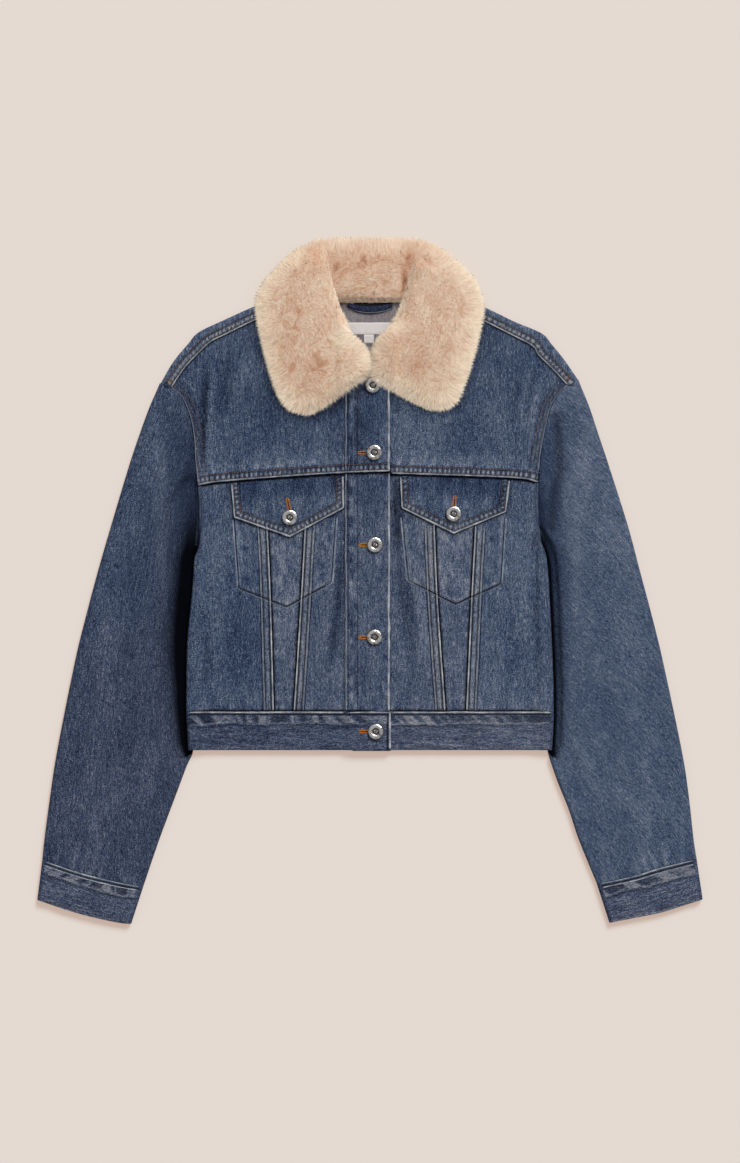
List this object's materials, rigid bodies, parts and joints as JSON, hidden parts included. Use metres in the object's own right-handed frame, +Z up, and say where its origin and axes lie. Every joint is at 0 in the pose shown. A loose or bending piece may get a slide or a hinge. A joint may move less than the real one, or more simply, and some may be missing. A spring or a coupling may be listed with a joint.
{
  "type": "denim jacket with a faux fur collar, laid flat",
  "caption": "Cropped button-front denim jacket with pointed chest pocket flaps and a faux fur collar, buttoned and laid flat on its back.",
  "frame": {"origin": "bottom centre of the jacket's box, on the surface it lies on", "axes": "+Z up from the surface through the fronts, +Y towards the collar, +X towards the sleeve on the right as seen from above"},
  "size_m": [0.7326, 0.7524, 0.0256],
  "materials": {
    "denim": "mid-blue washed denim twill, matte, paler on its worn seam edges",
    "denim_reverse": "grey-blue reverse of the denim, matte",
    "fur": "beige faux fur, short curly pile",
    "nickel": "worn nickel plate with a dark recess",
    "navy_tape": "navy woven tape",
    "satin": "white satin label tape, blank"
  },
  "bodies": {
    "root": {"back_panel": "denim", "back_yoke": "denim", "front_yoke_left": "denim", "front_yoke_right": "denim", "front_center_left": "denim", "front_center_right": "denim", "front_mid_left": "denim", "front_mid_right": "denim", "front_side_left": "denim", "front_side_right": "denim", "pocket_flap_left": "denim", "pocket_flap_right": "denim", "waistband": "denim", "sleeve_left": "denim", "sleeve_right": "denim", "cuff_left": "denim", "cuff_right": "denim", "fur_collar": "fur", "button_front_1": "nickel", "button_front_2": "nickel", "button_front_3": "nickel", "button_front_4": "nickel", "button_front_5": "nickel", "button_pocket_left": "nickel", "button_pocket_right": "nickel", "hanger_loop": "navy_tape", "neck_label": "satin", "size_tab": "satin"}
  },
  "joints": []
}
